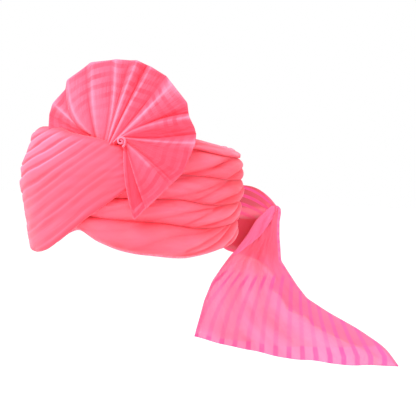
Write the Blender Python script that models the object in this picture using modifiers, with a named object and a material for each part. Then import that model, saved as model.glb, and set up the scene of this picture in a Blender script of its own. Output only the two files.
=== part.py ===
"""Tied turban with a pleated fan and a hanging tail, in metres.

+Z up, the forehead faces -Y and the wearer's left is +X. The origin is the middle of the head
opening on the rim plane. Around the turban, phi is 0 at the forehead and grows to the wearer's right.
"""

import math

import bmesh
import bpy
import numpy as np

MM = 0.001
WRAP_HALF = (0.107, 0.124)
HEAD_HALF = (0.078, 0.098)
WRAP_HEIGHT = 0.120
PIECE_GAP = 0.0003
RING_SEGMENTS = 48

COIL_COUNT = 4
COIL_SEAM_DEPTH = 0.0062
RIM_ROUNDING = 0.0100
TWIST_DEPTH = 0.0030
TWIST_EVERY = 30.0
TWIST_SWEEP = 42.0

CROWN_HALF = (0.0774, 0.0974)
CROWN_RIM_Z = 0.090
CROWN_RISE = 0.032
CROWN_CLOTH = 0.0025
CROWN_FOLD = 0.0013
CROWN_FOLD_EVERY = 0.0327

BAND_COVER = 0.007
BAND_CLOTH = 0.0030
BAND_EASE = 0.0013
BAND_RIB_PITCH = 0.0138
BAND_RIB_HEIGHT = 0.0030
BAND_RIBS = 9
BAND_LOWER_ROLL = 0.006
BAND_TOP_ROLL = 0.008
BAND_MERGE = 0.0014
BAND_FROM = -42.0
BAND_TO = 172.0

FAN_FACING = 35.0
FAN_RADIUS = 0.080
FAN_HUB = (-0.0027, -0.1189, 0.1105)
FAN_LEFT_ROOT = (-0.0450, -0.0845, 0.1185)
FAN_CLOTH = 0.0011
FAN_PLEAT = 0.0040
FAN_EYE = 0.0084
FLAP_BELLY = 0.006
KNOT_HALF = (0.0072, 0.0052, 0.0078)

TAIL_DROP = 0.141
TAIL_REACH = 0.287
TAIL_CLOTH = 0.0011
TAIL_LAYER_GAP = 0.0075
TAIL_TURNOVER = 0.0030
TAIL_ARCH = 0.0150
TAIL_SAG = 0.0045
TAIL_FOLD_ROUND = 0.0020
TURNOVER_WIDTH = 0.014
TURNOVER_ROUND = 0.0012
TURNOVER_DEPTH = 0.0030
TAIL_DEPTHS = (0.092, 0.104)
TAIL_WAVES = 3
TAIL_WAVE = 0.0035

# Heights of the lines between the coils, as shares of WRAP_HEIGHT.
SEAMS = (
    # phi, rim, seam_1_2, seam_2_3, seam_3_4, seam_4_5, top
    (-180, 0.050, 0.242, 0.417, 0.583, 0.767, 0.833),
    (-128, 0.050, 0.242, 0.408, 0.592, 0.775, 0.833),
    (-113, 0.033, 0.237, 0.407, 0.596, 0.792, 0.842),
    (-96, 0.017, 0.230, 0.410, 0.617, 0.817, 0.879),
    (-86, 0.008, 0.225, 0.417, 0.642, 0.850, 0.908),
    (-76, 0.000, 0.237, 0.442, 0.662, 0.883, 0.933),
    (-66, 0.012, 0.267, 0.479, 0.672, 0.883, 0.925),
    (-57, 0.033, 0.296, 0.487, 0.675, 0.867, 0.908),
    (-45, 0.055, 0.312, 0.492, 0.675, 0.842, 0.883),
    (-34, 0.090, 0.325, 0.500, 0.675, 0.833, 0.875),
    (-26, 0.133, 0.337, 0.508, 0.675, 0.833, 0.875),
    (-19, 0.171, 0.350, 0.517, 0.675, 0.833, 0.875),
    (-9, 0.258, 0.383, 0.533, 0.683, 0.833, 0.875),
    (0, 0.225, 0.367, 0.517, 0.675, 0.825, 0.875),
    (12, 0.142, 0.317, 0.492, 0.658, 0.825, 0.875),
    (30, 0.075, 0.275, 0.467, 0.650, 0.825, 0.875),
    (60, 0.058, 0.258, 0.450, 0.633, 0.817, 0.867),
    (120, 0.050, 0.242, 0.425, 0.600, 0.783, 0.842),
    (180, 0.050, 0.242, 0.417, 0.583, 0.767, 0.833),
)

# How far the wraps stand in from WRAP_HALF at each height, as shares of WRAP_HEIGHT.
BARREL = (
    # height, inset
    (0.00, 0.075),
    (0.12, 0.050),
    (0.33, 0.025),
    (0.50, 0.000),
    (0.71, 0.000),
    (0.80, 0.033),
    (0.88, 0.075),
    (0.96, 0.092),
    (1.06, 0.140),
)

# How much the rim and the band's lower edge rise over the wearer's right ear, as shares of WRAP_HEIGHT.
EAR_RISE = (
    # phi, rise
    (55, 0.000),
    (78, 0.095),
    (92, 0.115),
    (104, 0.105),
    (135, 0.000),
)

# The front band: its lower edge and its top edge round the turban, as shares of WRAP_HEIGHT.
BAND_EDGES = (
    # phi, lower, top
    (-42, 0.608, 0.875),
    (-36, 0.540, 0.915),
    (-32, 0.492, 0.931),
    (-23, 0.390, 0.968),
    (-18, 0.342, 0.981),
    (-13, 0.280, 0.992),
    (-8, 0.233, 1.003),
    (-2, 0.175, 1.018),
    (6, 0.110, 1.048),
    (13, 0.067, 1.054),
    (20, 0.042, 1.058),
    (30, 0.025, 1.056),
    (50, 0.021, 1.050),
    (100, 0.030, 1.005),
    (150, 0.055, 0.905),
    (172, 0.180, 0.720),
)

# The fan's ridges: direction seen from the front of the fan, reach and lean as shares of
# FAN_RADIUS, and where each leaves the root line (0 is its left end, 1 is the hub).
FAN_RIDGES = (
    # bearing, reach, lean, root
    (153, 0.45, -0.13, 0.00),
    (137, 0.54, -0.13, 0.09),
    (118, 0.68, -0.13, 0.24),
    (100, 0.86, -0.13, 0.40),
    (84, 0.95, -0.13, 0.55),
    (73, 0.98, -0.13, 0.73),
    (66, 0.99, -0.14, 0.78),
    (53, 0.98, -0.16, 0.86),
    (31, 0.93, -0.18, 0.91),
    (17, 0.86, -0.19, 0.93),
    (3, 0.87, -0.20, 0.96),
    (-24, 0.77, -0.21, 0.98),
    (-52, 0.77, -0.08, 1.00),
    (-81, 0.90, 0.05, 1.00),
    (-93, 0.58, 0.07, 1.00),
)

# The tail's three edges from its top to its hem: the hidden back layer's edge, the fold on the
# right and the front layer's edge. Sideways shares are of TAIL_REACH, heights of TAIL_DROP.
TAIL_EDGES = (
    # along, back_out, back_up, fold_out, fold_up, front_out, front_up, turnover
    (0.00, 0.250, 0.400, 0.536, 0.270, 0.512, 0.277, 0.10),
    (0.08, 0.250, 0.320, 0.538, 0.213, 0.488, 0.239, 0.55),
    (0.16, 0.250, 0.245, 0.533, 0.149, 0.449, 0.163, 0.95),
    (0.26, 0.255, 0.150, 0.533, 0.035, 0.413, 0.041, 1.00),
    (0.34, 0.280, 0.070, 0.537, -0.057, 0.375, -0.060, 0.70),
    (0.42, 0.350, -0.040, 0.540, -0.156, 0.348, -0.121, 0.30),
    (0.50, 0.440, -0.100, 0.571, -0.255, 0.314, -0.213, 0.10),
    (0.58, 0.498, -0.206, 0.603, -0.355, 0.282, -0.312, 0.10),
    (0.68, 0.523, -0.390, 0.641, -0.454, 0.251, -0.468, 0.10),
    (0.78, 0.557, -0.497, 0.725, -0.567, 0.233, -0.603, 0.10),
    (0.88, 0.662, -0.652, 0.836, -0.709, 0.220, -0.695, 0.10),
    (1.00, 0.913, -0.922, 1.000, -1.000, 0.213, -0.752, 0.10),
)

def read(table, column, at):
    """The value of a table's column at a value of its first column, eased over its corners."""
    xs = [row[0] for row in table]
    ys = [row[column] for row in table]
    step = (xs[-1] - xs[0]) * 0.012
    return float(np.mean(np.interp([at - step, at, at + step], xs, ys)))


def around(phi):
    return (phi + 180.0) % 360.0 - 180.0


def ear_rise(phi):
    return WRAP_HEIGHT * read(EAR_RISE, 1, around(phi))


def seam(line, phi):
    xs = [row[0] for row in SEAMS]
    ys = [row[line + 1] for row in SEAMS]
    near = [around(phi - 5.0), around(phi), around(phi + 5.0)]
    share = (1.0, 0.3)[line] if line < 2 else 0.0
    return WRAP_HEIGHT * float(np.mean(np.interp(near, xs, ys))) + share * ear_rise(phi)


def covered(phi):
    """How far the coils stand in where the front band lies on them."""
    return BAND_COVER * float(np.interp(around(phi), (-180, -45, 5, 140, 172, 180), (0, 0, 1, 1, 0, 0)))


def inset_at(phi, z):
    return WRAP_HEIGHT * read(BARREL, 1, z / WRAP_HEIGHT) + covered(phi)


def on_ellipse(half, phi, z, outward=0.0):
    turn = math.radians(phi)
    return (-(half[0] + outward) * math.sin(turn), -(half[1] + outward) * math.cos(turn), z)


def cloth_material(name, colour, roughness):
    material = bpy.data.materials.new(name)
    material.use_nodes = True
    shader = material.node_tree.nodes["Principled BSDF"]
    shader.inputs["Base Color"].default_value = (*colour, 1.0)
    shader.inputs["Roughness"].default_value = roughness
    material.diffuse_color = (*colour, 1.0)
    return material


def mapped_grid(columns, rows, place):
    """A grid whose points go where place(u, v) says, u and v running from 0 to 1."""
    bm = bmesh.new()
    bmesh.ops.create_grid(bm, x_segments=columns, y_segments=rows, size=0.5)
    for vert in bm.verts:
        vert.co = place(vert.co.x + 0.5, vert.co.y + 0.5)
    return bm


def finish(name, bm, material, thickness=0.0, offset=0.0):
    bmesh.ops.remove_doubles(bm, verts=bm.verts, dist=0.00002)
    bmesh.ops.recalc_face_normals(bm, faces=bm.faces)
    if thickness and sum(face.normal.dot(face.calc_center_median()) for face in bm.faces) < 0:
        bmesh.ops.reverse_faces(bm, faces=bm.faces)
    mesh = bpy.data.meshes.new(name)
    bm.to_mesh(mesh)
    bm.free()
    mesh.materials.append(material)
    mesh.shade_smooth()
    piece = bpy.data.objects.new(name, mesh)
    turban.objects.link(piece)
    if thickness:
        shell = piece.modifiers.new("cloth", "SOLIDIFY")
        shell.thickness = thickness
        shell.offset = offset
        shell.use_even_offset = True
        shell.thickness_clamp = 1.5
    return piece


def coil(number, outer_steps, seam_depth, rim_depth, twist, puff=0.0):
    """One wrap: a closed ring between two seam lines, bulged outside and upright inside."""
    over = 2 if puff else 0
    rows = outer_steps + over + 3

    def place(u, v):
        phi = -180.0 + 360.0 * u
        low = seam(number, phi) + PIECE_GAP / 2
        high = seam(number + 1, phi) - PIECE_GAP / 2
        row = round(v * rows)
        if outer_steps < row <= outer_steps + over:
            inward = (row - outer_steps) / (over + 1)
            half = [a * (1 - inward) + b * inward for a, b in zip(WRAP_HALF, HEAD_HALF)]
            lift = puff * float(np.interp(around(phi), (-180, -70, -45, 60, 90, 180), (1, 1, 0, 0, 1, 1)))
            return on_ellipse(half, phi, high + lift, -inset_at(phi, high) * (1 - inward))
        if row == outer_steps + over + 1:
            return on_ellipse(HEAD_HALF, phi, high)
        if row == outer_steps + over + 2:
            return on_ellipse(HEAD_HALF, phi, low)
        t = 0.0 if row == rows else row / outer_steps
        z = low + (high - low) * t
        depth = rim_depth if t < 0.5 else seam_depth
        bulge = math.sin(math.pi * t) ** 0.55
        phase = 2 * math.pi * (phi + TWIST_SWEEP * t + 11.0 * number) / TWIST_EVERY
        crease = twist * (0.5 - 0.5 * math.cos(phase)) * bulge
        return on_ellipse(WRAP_HALF, phi, z, -inset_at(phi, z) - depth * (1 - bulge) - crease)

    name = f"coil_{number + 1}"
    return finish(name, mapped_grid(RING_SEGMENTS, rows, place), wrap_cloth)


def crown():
    """The cloth dome, its broad folds crossing from the front left to the back right."""

    def place(u, v):
        turn = 2 * math.pi * u
        x = CROWN_HALF[0] * v * math.cos(turn)
        y = CROWN_HALF[1] * v * math.sin(turn)
        z = CROWN_RIM_Z + CROWN_RISE * (1 - v ** 3.2)
        fold = CROWN_FOLD * math.sin(2 * math.pi * (0.5 * x + y) / CROWN_FOLD_EVERY) * (1 - v ** 4)
        return (x, y, z + fold)

    return finish("crown", mapped_grid(32, 6, place), wrap_cloth, CROWN_CLOTH, -1.0)


def front_band():
    """A ribbed strip: a flat grid trimmed to the top edge, then bent round the coils."""
    rib_rows = 3 * BAND_RIBS
    span = BAND_TO - BAND_FROM
    height = BAND_RIB_PITCH * BAND_RIBS
    bm = mapped_grid(36, rib_rows, lambda u, v: (BAND_FROM + span * u, 1000 * height * v, 0.0))
    corners = []
    for phi in (-42, -23, -2, 13, 50, 100, 150, 172):
        corners.append((phi, WRAP_HEIGHT / MM * (read(BAND_EDGES, 2, phi) - read(BAND_EDGES, 1, phi))))
    for (phi_a, up_a), (phi_b, up_b) in zip(corners, corners[1:]):
        bmesh.ops.bisect_plane(
            bm,
            geom=bm.verts[:] + bm.edges[:] + bm.faces[:],
            dist=0.001,
            plane_co=(phi_a, up_a, 0.0),
            plane_no=(up_a - up_b, phi_b - phi_a, 0.0),
            clear_outer=True,
        )
    for vert in bm.verts:
        phi, rise = vert.co.x, ear_rise(vert.co.x)
        up = max(rise, vert.co.y * MM)
        z = WRAP_HEIGHT * read(BAND_EDGES, 1, phi) + up
        room = WRAP_HEIGHT * read(BAND_EDGES, 2, phi) - z
        rib = BAND_RIB_HEIGHT * math.sin(math.pi * (up / BAND_RIB_PITCH % 1.0)) ** 0.6
        ends = min(1.0, (up - rise) / BAND_LOWER_ROLL, max(0.0, room) / BAND_TOP_ROLL)
        lift = PIECE_GAP + BAND_CLOTH + BAND_EASE + rib * ends
        vert.co = on_ellipse(WRAP_HALF, phi, z, lift - inset_at(phi, z))
    bmesh.ops.remove_doubles(bm, verts=bm.verts, dist=BAND_MERGE)
    bmesh.ops.triangulate(bm, faces=[face for face in bm.faces if len(face.verts) > 4])
    return finish("front_band", bm, wrap_cloth, BAND_CLOTH, -1.0)


def fan_frame():
    turn = math.radians(FAN_FACING)
    right = np.array((math.cos(turn), math.sin(turn), 0.0))
    away = np.array((-math.sin(turn), math.cos(turn), 0.0))
    return right, away, np.array((0.0, 0.0, 1.0))


def fan():
    """Pleats spread from a root line; the last ones bend down as the flap."""
    right, away, up = fan_frame()
    last = len(FAN_RIDGES) - 1
    ridges = [(index, *row) for index, row in enumerate(FAN_RIDGES)]
    columns = list(zip(*ridges))

    def place(u, v):
        at = u * last
        bearing, reach, lean, root = (float(np.interp(at, columns[0], column)) for column in columns[1:])
        eye = FAN_EYE / (reach * FAN_RADIUS)
        roots = (0.0, 0.3, 0.45, 0.6, 0.75, 0.80, 0.86, 0.91, 0.96, 1.0)
        starts = (-0.12, -0.05, 0.03, 0.02, 0.03, 0.06, 0.11, 0.18, 0.15, eye)
        first = float(np.interp(root, roots, starts))
        share = first + (1 - first) * v
        start = np.array(FAN_LEFT_ROOT) * (1 - root) + np.array(FAN_HUB) * root
        turn = math.radians(bearing)
        ray = right * math.cos(turn) + up * math.sin(turn)
        hang = max(0.0, min(1.0, -bearing / 25.0))
        pleat = FAN_PLEAT * (1 - 0.35 * hang) * max(0.06, share) * math.cos(2 * math.pi * at)
        forward = lean * FAN_RADIUS * share + pleat + FLAP_BELLY * hang * math.sin(math.pi * share)
        scallop = 1 + 0.02 * math.cos(2 * math.pi * at)
        base = right * start[0] + away * start[1] + up * start[2]
        return base + ray * reach * FAN_RADIUS * share * scallop - away * forward

    return finish("fan", mapped_grid(4 * last, 5, place), fan_cloth, FAN_CLOTH, 0.0)


def fan_knot():
    """The rolled end at the hub, with a groove that winds round it."""
    right, away, up = fan_frame()
    bm = bmesh.new()
    bmesh.ops.create_uvsphere(bm, u_segments=18, v_segments=10, radius=1.0)
    centre = right * FAN_HUB[0] + away * FAN_HUB[1] + up * FAN_HUB[2]
    for vert in bm.verts:
        x, y, z = vert.co
        turn = math.atan2(z, x)
        groove = 1 - 0.10 * (0.5 + 0.5 * math.cos(3 * turn + 5 * math.hypot(x, z)))
        vert.co = centre + (right * x * KNOT_HALF[0] + away * y * KNOT_HALF[1] + up * z * KNOT_HALF[2]) * groove
    return finish("fan_knot", bm, fan_cloth)


def tail():
    """One sheet: back layer, fold on the right, front layer, and a narrow strip turned over."""
    right, away, up = fan_frame()
    back_steps, front_steps = 6, 12
    columns = back_steps + 2 + front_steps + 2
    fold_at = back_steps + 1
    front_at = fold_at + 1 + front_steps

    def place(u, v):
        along = 1 - v
        column = round(u * columns)
        values = [read(TAIL_EDGES, index, along) for index in range(1, 8)]
        back, fold, front = (np.array(values[index:index + 2]) for index in (0, 2, 4))
        size = np.array((TAIL_REACH, TAIL_DROP))
        back, fold, front = back * size, fold * size, front * size
        near = TAIL_DEPTHS[0] + (TAIL_DEPTHS[1] - TAIL_DEPTHS[0]) * along
        across = front - fold
        across = across / math.hypot(*across)
        inner = fold + across * TAIL_FOLD_ROUND
        sag = np.array((0.0, -TAIL_SAG * along))
        if column == 0 and along < 0.3:
            z = up[2] * back[1]
            return on_ellipse(WRAP_HALF, 179.0, z, TAIL_CLOTH / 2 - inset_at(179.0, z))
        if column < fold_at:
            t = column / back_steps
            arch = TAIL_ARCH * max(0.0, 1 - along / 0.3) * abs(math.sin(math.pi * t ** 1.6)) ** 0.8
            spot = back + (inner - back) * t + np.array((0.0, arch))
            depth = near + TAIL_LAYER_GAP * (1.1 + 0.5 * (1 - t))
            wave = 0.35
            crosswise = t
        elif column == fold_at:
            spot = fold
            depth = near + TAIL_LAYER_GAP / 2
            wave = 0.0
            crosswise = 0.0
        elif column <= front_at:
            t = (column - fold_at - 1) / front_steps
            spot = inner + (front - inner) * t + sag * math.sin(math.pi * t)
            depth = near
            wave = math.sin(math.pi * min(1.0, 1.6 * t)) if t < 0.3 else 1.0
            crosswise = t
        else:
            strip = TAIL_TURNOVER + TURNOVER_WIDTH * values[6]
            t = (column - front_at) / 2
            spot = front - across * (0.0 if t < 1 else min(strip, 0.55 * math.hypot(*(front - fold))))
            spot = spot + across * (TURNOVER_ROUND if t < 1 else 0.0)
            depth = near - (TURNOVER_ROUND if t < 1 else TURNOVER_DEPTH)
            wave = 1.0
            crosswise = 1.0
        depth += wave * TAIL_WAVE * along * math.sin(2 * math.pi * TAIL_WAVES * crosswise)
        return right * spot[0] + away * depth + up * spot[1]

    return finish("tail", mapped_grid(columns, 18, place), tail_cloth, TAIL_CLOTH, 0.0)


for old in list(bpy.data.objects):
    bpy.data.objects.remove(old)
turban = bpy.data.collections.new("turban")
bpy.context.scene.collection.children.link(turban)
wrap_cloth = cloth_material("wrap_cloth", (0.93, 0.16, 0.25), 0.80)
fan_cloth = cloth_material("fan_cloth", (0.93, 0.17, 0.30), 0.75)
tail_cloth = cloth_material("tail_cloth", (0.94, 0.20, 0.36), 0.75)

for index in range(COIL_COUNT):
    coil(index, 6, COIL_SEAM_DEPTH, RIM_ROUNDING if index == 0 else COIL_SEAM_DEPTH, TWIST_DEPTH)
coil(COIL_COUNT, 3, 0.0022, 0.0022, 0.0, puff=0.0045)
crown()
front_band()
fan()
fan_knot()
tail()
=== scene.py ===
"""Dresses the tied turban: twisted wraps, ribbed front band, pleated fan, rolled knot and sheer tail."""

import logging
import math
from dataclasses import dataclass
from enum import Enum
from typing import Callable, Sequence

import bmesh
import bpy
import numpy as np
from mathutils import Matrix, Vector


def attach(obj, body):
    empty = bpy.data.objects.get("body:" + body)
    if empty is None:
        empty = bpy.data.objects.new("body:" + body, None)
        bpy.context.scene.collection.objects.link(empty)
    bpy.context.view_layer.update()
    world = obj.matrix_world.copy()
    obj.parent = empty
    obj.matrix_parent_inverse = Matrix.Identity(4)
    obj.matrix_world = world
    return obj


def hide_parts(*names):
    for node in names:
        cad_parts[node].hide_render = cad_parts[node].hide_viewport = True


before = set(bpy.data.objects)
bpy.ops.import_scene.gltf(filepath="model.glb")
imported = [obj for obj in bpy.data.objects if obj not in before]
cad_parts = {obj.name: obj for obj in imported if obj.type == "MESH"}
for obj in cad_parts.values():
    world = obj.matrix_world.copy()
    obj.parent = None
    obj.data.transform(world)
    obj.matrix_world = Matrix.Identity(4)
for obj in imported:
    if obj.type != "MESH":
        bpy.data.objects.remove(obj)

LOG = logging.getLogger("turban")
MM = 0.001
TAPS = 9
Array = np.ndarray
Colour = tuple[float, float, float]
Socket = bpy.types.NodeSocket
Inputs = dict[str | int, object]
Table = Sequence[tuple[float, ...]]
Places = tuple[Array, dict[str, Array]]


class Slot(Enum):
    """The record's material slots."""

    WRAP = "wrap_cloth"
    FAN = "fan_cloth"
    TAIL = "tail_cloth"


def eased(table: Table, column: int, at: Array, spread: float, period: float = 0.0) -> Array:
    """Reads a table's column with its corners rounded off.

    Args:
        table: rows of numbers, rising in their first column.
        column: the column to read.
        at: the values of the first column to read it at.
        spread: how far to each side the reading is averaged.
        period: the length after which the first column starts again, or 0.

    Returns:
        The column's values at those places.
    """
    xs = np.array([row[0] for row in table], float)
    ys = np.array([row[column] for row in table], float)
    total = np.zeros_like(at, dtype=float)
    weights = 0.0
    for tap in np.linspace(-1.0, 1.0, TAPS):
        weight = 1.0 - 0.9 * tap * tap
        where = at + tap * spread
        if period:
            where = (where - xs[0]) % period + xs[0]
        total += weight * np.interp(where, xs, ys)
        weights += weight
    return total / weights


def unit(values: Array) -> Array:
    """Limits values to the range from 0 to 1."""
    return np.clip(values, 0.0, 1.0)


def smooth_step(low: float, high: float, at: Array) -> Array:
    """Rises smoothly from 0 at low to 1 at high."""
    t = unit((at - low) / (high - low))
    return t * t * (3.0 - 2.0 * t)


def bump(away: Array, width: float | Array) -> Array:
    """Falls softly from 1 where the distance away is 0."""
    return np.exp(-((away / width) ** 2))


def ripple(phi: Array, along: Array, seed: int, waves: int = 7) -> Array:
    """A soft uneven ripple that closes on itself round the turban.

    Args:
        phi: angles in degrees.
        along: a second coordinate, in waves.
        seed: picks the pattern.
        waves: how many sines are summed.

    Returns:
        Values mostly between -1 and 1.
    """
    rng = np.random.default_rng(seed)
    total = np.zeros_like(phi, dtype=float)
    for _ in range(waves):
        turns = int(rng.integers(3, 23))
        slope = rng.uniform(-2.2, 2.2)
        start = rng.uniform(0.0, 2.0 * math.pi)
        wave = np.radians(phi) * turns + slope * along * 2 * math.pi + start
        total += rng.uniform(0.5, 1.0) * np.sin(wave)
    return total / (0.55 * waves)


@dataclass(frozen=True)
class WrapForm:
    """The wound body that every piece lies on, with the sizes that its solids have."""

    half: tuple[float, float] = (0.107, 0.124)
    head_half: tuple[float, float] = (0.078, 0.098)
    height: float = 0.120
    gap: float = 0.0003
    band_cover: float = 0.007
    seams: Table = (
        # phi, rim, seam_1_2, seam_2_3, seam_3_4, seam_4_5, top
        (-180, 0.050, 0.242, 0.417, 0.583, 0.767, 0.833),
        (-128, 0.050, 0.242, 0.408, 0.592, 0.775, 0.833),
        (-113, 0.033, 0.237, 0.407, 0.596, 0.792, 0.842),
        (-96, 0.017, 0.230, 0.410, 0.617, 0.817, 0.879),
        (-86, 0.008, 0.225, 0.417, 0.642, 0.850, 0.908),
        (-76, 0.000, 0.237, 0.442, 0.662, 0.883, 0.933),
        (-66, 0.012, 0.267, 0.479, 0.672, 0.883, 0.925),
        (-57, 0.033, 0.296, 0.487, 0.675, 0.867, 0.908),
        (-45, 0.055, 0.312, 0.492, 0.675, 0.842, 0.883),
        (-34, 0.090, 0.325, 0.500, 0.675, 0.833, 0.875),
        (-26, 0.133, 0.337, 0.508, 0.675, 0.833, 0.875),
        (-19, 0.171, 0.350, 0.517, 0.675, 0.833, 0.875),
        (-9, 0.258, 0.383, 0.533, 0.683, 0.833, 0.875),
        (0, 0.225, 0.367, 0.517, 0.675, 0.825, 0.875),
        (12, 0.142, 0.317, 0.492, 0.658, 0.825, 0.875),
        (30, 0.075, 0.275, 0.467, 0.650, 0.825, 0.875),
        (60, 0.058, 0.258, 0.450, 0.633, 0.817, 0.867),
        (120, 0.050, 0.242, 0.425, 0.600, 0.783, 0.842),
        (180, 0.050, 0.242, 0.417, 0.583, 0.767, 0.833),
    )
    barrel: Table = (
        # height, inset
        (0.00, 0.075),
        (0.12, 0.050),
        (0.33, 0.025),
        (0.50, 0.000),
        (0.71, 0.000),
        (0.80, 0.033),
        (0.88, 0.075),
        (0.96, 0.092),
        (1.06, 0.140),
    )
    ear_rise: Table = ((55, 0.0), (78, 0.095), (92, 0.115), (104, 0.105), (135, 0.0))
    cover: Table = ((-180, 0.0), (-45, 0.0), (5, 1.0), (140, 1.0), (172, 0.0), (180, 0.0))

    def seam(self, line: int, phi: Array) -> Array:
        """The height of one line between the coils, at angles in degrees."""
        share = (1.0, 0.3)[line] if line < 2 else 0.0
        return self.height * eased(self.seams, line + 1, phi, 5.0, 360.0) + share * self.rise(phi)

    def rise(self, phi: Array) -> Array:
        """How much the rim rises over the wearer's right ear."""
        return self.height * eased(self.ear_rise, 1, (phi + 180) % 360 - 180, 4.0)

    def inset(self, phi: Array, z: Array) -> Array:
        """How far the wraps stand in from their widest oval at a place."""
        barrel = self.height * eased(self.barrel, 1, z / self.height, 0.04)
        return barrel + self.band_cover * eased(self.cover, 1, phi, 4.0, 360.0)

    def at(self, half: Sequence, phi: Array, z: Array, outward: Array) -> Array:
        """Finds points on an oval.

        Args:
            half: the oval's half width and half length.
            phi: angles in degrees, from the forehead towards the wearer's right.
            z: heights.
            outward: how far outside the oval each point lies.

        Returns:
            The points.
        """
        turn = np.radians(phi)
        x = -(half[0] + outward) * np.sin(turn)
        y = -(half[1] + outward) * np.cos(turn)
        return np.stack([x, y, z + 0.0 * x], axis=-1)


@dataclass(frozen=True)
class NodeKit:
    """Adds nodes to one tree and joins them."""

    tree: bpy.types.NodeTree
    # a Mix node's colour sockets, which share their names with its other sockets
    colour_a: int = 6
    colour_b: int = 7
    colour_out: int = 2

    def add(self, kind: str, inputs: Inputs) -> bpy.types.Node:
        """Adds a node.

        Args:
            kind: the node's type, as it follows ShaderNode.
            inputs: what its sockets are set to or linked with.

        Returns:
            The new node.
        """
        node = self.tree.nodes.new(f"ShaderNode{kind}")
        self.feed(node, inputs)
        return node

    def feed(self, node: bpy.types.Node, inputs: Inputs) -> None:
        """Sets a node's own sockets, or links them.

        Args:
            node: the node.
            inputs: a number, a vector, a colour or another node's socket for each.
        """
        for key, value in inputs.items():
            socket = node.inputs[key]
            if isinstance(value, Socket):
                self.tree.links.new(value, socket)
            else:
                socket.default_value = (*value, 1.0) if socket.type == "RGBA" else value

    def attribute(self, name: str) -> Socket:
        """Reads a number that the mesh carries.

        Args:
            name: the attribute.

        Returns:
            The socket with its value.
        """
        node = self.add("Attribute", {})
        node.attribute_name = name
        return node.outputs["Fac"]

    def noise(self, vector: Socket, scale: float, detail: float) -> Socket:
        """A noise pattern at so many bumps a metre."""
        return self.add("TexNoise", {"Vector": vector, "Scale": scale, "Detail": detail}).outputs["Fac"]

    def stretch(self, value: Socket, taken: tuple[float, float], given: tuple[float, float]) -> Socket:
        """Maps one range of a number on to another.

        Args:
            value: the number.
            taken: the range that it is read in.
            given: what the ends of that range become.

        Returns:
            The socket with the new number.
        """
        ends = {"From Min": taken[0], "From Max": taken[1], "To Min": given[0], "To Max": given[1]}
        return self.add("MapRange", {"Value": value, **ends}).outputs["Result"]

    def ramp(self, share: Socket, stops: Sequence[tuple[float, Colour]], easing: str) -> Socket:
        """Turns a number into a colour.

        Args:
            share: the number.
            stops: places and their colours, two at least.
            easing: how one colour passes into the next.

        Returns:
            The socket with the colour.
        """
        node = self.add("ValToRGB", {"Fac": share})
        node.color_ramp.interpolation = easing
        made = node.color_ramp.elements
        for index, (place, colour) in enumerate(stops[:2]):
            made[index].position = place
            made[index].color = (*colour, 1.0)
        for place, colour in stops[2:]:
            made.new(place).color = (*colour, 1.0)
        return node.outputs["Color"]

    def mix(self, share: Socket, first: Socket, second: Colour) -> Socket:
        """Blends two colours by a share.

        Args:
            share: 0 for the first, 1 for the second.
            first: the socket with the first colour.
            second: the second colour.

        Returns:
            The socket with the blended colour.
        """
        node = self.add("Mix", {})
        node.data_type = "RGBA"
        self.feed(node, {"Factor": share, self.colour_a: first, self.colour_b: second})
        return node.outputs[self.colour_out]

    def math(self, operation: str, first: Socket, second: Socket | float) -> Socket:
        """Takes one arithmetic step.

        Args:
            operation: the node's name for the step.
            first: the first number.
            second: the second number.

        Returns:
            The socket with the result.
        """
        node = self.add("Math", {})
        node.operation = operation
        self.feed(node, {0: first, 1: second})
        return node.outputs["Value"]


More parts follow.
